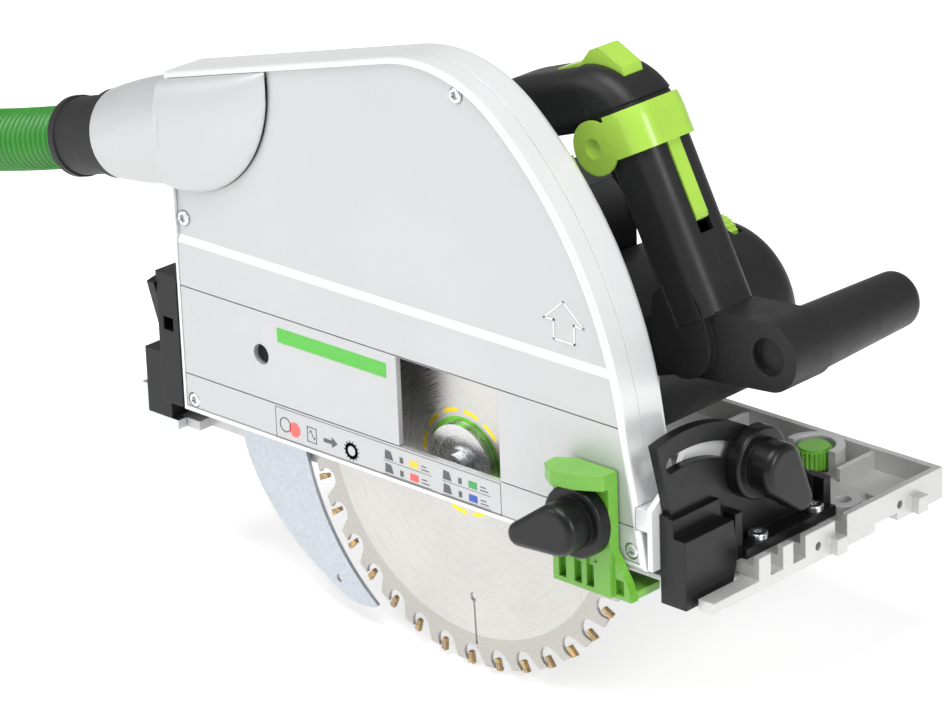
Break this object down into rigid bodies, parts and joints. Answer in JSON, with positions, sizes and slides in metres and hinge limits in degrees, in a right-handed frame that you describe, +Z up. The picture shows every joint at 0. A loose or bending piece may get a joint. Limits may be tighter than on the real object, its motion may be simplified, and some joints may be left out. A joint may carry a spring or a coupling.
{
  "type": "track plunge saw",
  "caption": "Track plunge saw with a silver blade guard, tilting base, green splinter guard and dust hose, set to full depth.",
  "frame": {"origin": "on the sole of the base, under the blade arbor along X and halfway between the blade plane and the far edge of the base in Y", "axes": "+X is the direction of cut, +Y from the blade towards the motor and the guide rail, +Z up"},
  "size_m": [0.6737, 0.2062, 0.3079],
  "materials": {
    "silver_paint": "fine satin, light grey metallic",
    "cover_silver": "satin silver lacquer",
    "base_cast": "die cast, bead blasted, clear coated",
    "gearbox_cast": "die cast, matt",
    "anthracite_plastic": "fine spark-eroded texture",
    "black_plastic": "satin",
    "lime_plastic": "satin gloss",
    "green_plastic": "satin gloss",
    "hose_green": "ribbed, satin",
    "cuff_rubber": "matt",
    "zinc_steel": "zinc plated",
    "blade_steel": "ground, clear lacquered",
    "carbide": "sintered carbide, brazed",
    "machined_steel": "turned and ground",
    "copper_pack": "lacquered windings and laminations",
    "glide_strip": "slick"
  },
  "bodies": {
    "base": {"base_plate": "base_cast", "glide_strips": "glide_strip", "segment_front": "black_plastic", "segment_rear": "black_plastic", "segment_screws": "zinc_steel", "rear_foot": "zinc_steel"},
    "guard": {"guard_rim": "silver_paint", "guard_cover": "cover_silver", "window_panel": "cover_silver", "lower_strip": "cover_silver", "guard_housing": "silver_paint", "dust_dome": "silver_paint", "cover_screws": "zinc_steel", "front_trunnion": "silver_paint", "rear_trunnion": "black_plastic", "clamp_studs": "zinc_steel", "pivot_pin": "machined_steel", "depth_scale": "machined_steel"},
    "head": {"gearbox_housing": "gearbox_cast", "gearbox_cover": "gearbox_cast", "motor_housing": "anthracite_plastic", "motor_end_cap": "anthracite_plastic", "brush_caps": "black_plastic", "handle_left": "anthracite_plastic", "handle_right": "anthracite_plastic", "handle_screws": "zinc_steel", "handle_cap": "anthracite_plastic", "power_inlet": "black_plastic", "switch_module": "black_plastic", "electronics_module": "black_plastic", "intake_cowl": "black_plastic", "front_grip": "anthracite_plastic", "bearings": "machined_steel", "motor_stator": "copper_pack"},
    "arbor": {"arbor_shaft": "machined_steel", "arbor_gear": "machined_steel", "saw_blade": "blade_steel", "carbide_tips": "carbide", "outer_flange": "machined_steel", "blade_screw": "zinc_steel"},
    "idler": {"idler_gear": "machined_steel"},
    "armature": {"rotor": "machined_steel", "cooling_fan": "black_plastic"},
    "knife": {"riving_knife": "zinc_steel", "knife_carrier": "machined_steel"},
    "hose": {"dust_connector": "cuff_rubber", "suction_hose": "hose_green", "hose_end_sleeve": "cuff_rubber"},
    "splinter_slide": {"splinter_guard": "green_plastic"},
    "trigger_body": {"trigger": "black_plastic"},
    "lock_off_button_body": {"lock_off_button": "lime_plastic"},
    "quick_lever_body": {"quick_lever": "lime_plastic"},
    "speed_dial_body": {"speed_dial": "lime_plastic"},
    "front_clamp_knob_body": {"front_clamp_knob": "black_plastic"},
    "rear_clamp_knob_body": {"rear_clamp_knob": "black_plastic"},
    "splinter_knob_body": {"splinter_knob": "black_plastic"},
    "rail_adjuster_front_body": {"rail_adjuster_front": "green_plastic"},
    "rail_adjuster_rear_body": {"rail_adjuster_rear": "green_plastic"},
    "depth_stop_body": {"depth_stop": "black_plastic"}
  },
  "joints": [
    {"name": "bevel_tilt", "type": "hinge", "parent": "base", "child": "guard", "pos_m": [0, -0.0789, 0], "axis": [1, 0, 0], "range_deg": [0, 47]},
    {"name": "plunge", "type": "hinge", "parent": "guard", "child": "head", "pos_m": [-0.15, -0.06, 0.05], "axis": [0, -1, 0], "range_deg": [0, 30]},
    {"name": "knife_swing", "type": "hinge", "parent": "head", "child": "knife", "pos_m": [0, -0.08, 0.03], "axis": [0, -1, 0], "range_deg": [-30, 0]},
    {"name": "blade_spin", "type": "hinge", "parent": "head", "child": "arbor", "pos_m": [0, -0.08, 0.03], "axis": [0, -1, 0], "continuous": true},
    {"name": "idler_spin", "type": "hinge", "parent": "head", "child": "idler", "pos_m": [0.01735, -0.05, 0.05068], "axis": [0, -1, 0], "continuous": true},
    {"name": "armature_spin", "type": "hinge", "parent": "head", "child": "armature", "pos_m": [0.03825, 0, 0.07558], "axis": [0, -1, 0], "continuous": true},
    {"name": "trigger_press", "type": "slide", "parent": "head", "child": "trigger_body", "axis": [0.891, 0, 0.454], "range_m": [0, 0.005], "stiffness_N_per_m": 700, "springref_m": -0.004},
    {"name": "lock_off_press", "type": "slide", "parent": "head", "child": "lock_off_button_body", "axis": [0.3107, 0, -0.9505], "range_m": [0, 0.003], "stiffness_N_per_m": 900, "springref_m": -0.003},
    {"name": "quick_lever_swing", "type": "hinge", "parent": "head", "child": "quick_lever_body", "pos_m": [0.1033, -0.03, 0.16246], "axis": [0, 1, 0], "range_deg": [0, 40]},
    {"name": "speed_dial_turn", "type": "hinge", "parent": "head", "child": "speed_dial_body", "pos_m": [0.03825, 0.059, 0.11008], "axis": [0, 1, 0], "range_deg": [0, 300]},
    {"name": "front_clamp_turn", "type": "hinge", "parent": "guard", "child": "front_clamp_knob_body", "pos_m": [0.14, -0.03455, 0.05286], "axis": [1, 0, 0], "range_deg": [0, 90]},
    {"name": "rear_clamp_turn", "type": "hinge", "parent": "guard", "child": "rear_clamp_knob_body", "pos_m": [-0.2, -0.03455, 0.05286], "axis": [1, 0, 0], "range_deg": [0, 90]},
    {"name": "splinter_lift", "type": "slide", "parent": "guard", "child": "splinter_slide", "axis": [0, 0, 1], "range_m": [0, 0.009]},
    {"name": "splinter_knob_turn", "type": "hinge", "parent": "guard", "child": "splinter_knob_body", "pos_m": [0.096, -0.11, 0.037], "axis": [0, -1, 0], "range_deg": [0, 90]},
    {"name": "rail_adjuster_front_turn", "type": "hinge", "parent": "base", "child": "rail_adjuster_front_body", "pos_m": [0.097, 0.058, 0.008], "axis": [0, 0, 1], "range_deg": [-60, 60]},
    {"name": "rail_adjuster_rear_turn", "type": "hinge", "parent": "base", "child": "rail_adjuster_rear_body", "pos_m": [-0.15, 0.058, 0.008], "axis": [0, 0, 1], "range_deg": [-60, 60]},
    {"name": "depth_stop_slide", "type": "hinge", "parent": "guard", "child": "depth_stop_body", "pos_m": [-0.15, -0.06, 0.05], "axis": [0, -1, 0], "range_deg": [-4, 0]},
    {"name": "hose_swivel", "type": "hinge", "parent": "guard", "child": "hose", "pos_m": [-0.222, -0.083, 0.1465], "axis": [0.9659, 0, 0.2588], "range_deg": [-45, 45]}
  ],
  "couplings": [
    {"joint": "knife_swing", "follows": "plunge", "ratio": -1},
    {"joint": "idler_spin", "follows": "blade_spin", "ratio": -2},
    {"joint": "armature_spin", "follows": "blade_spin", "ratio": 6.6667}
  ]
}
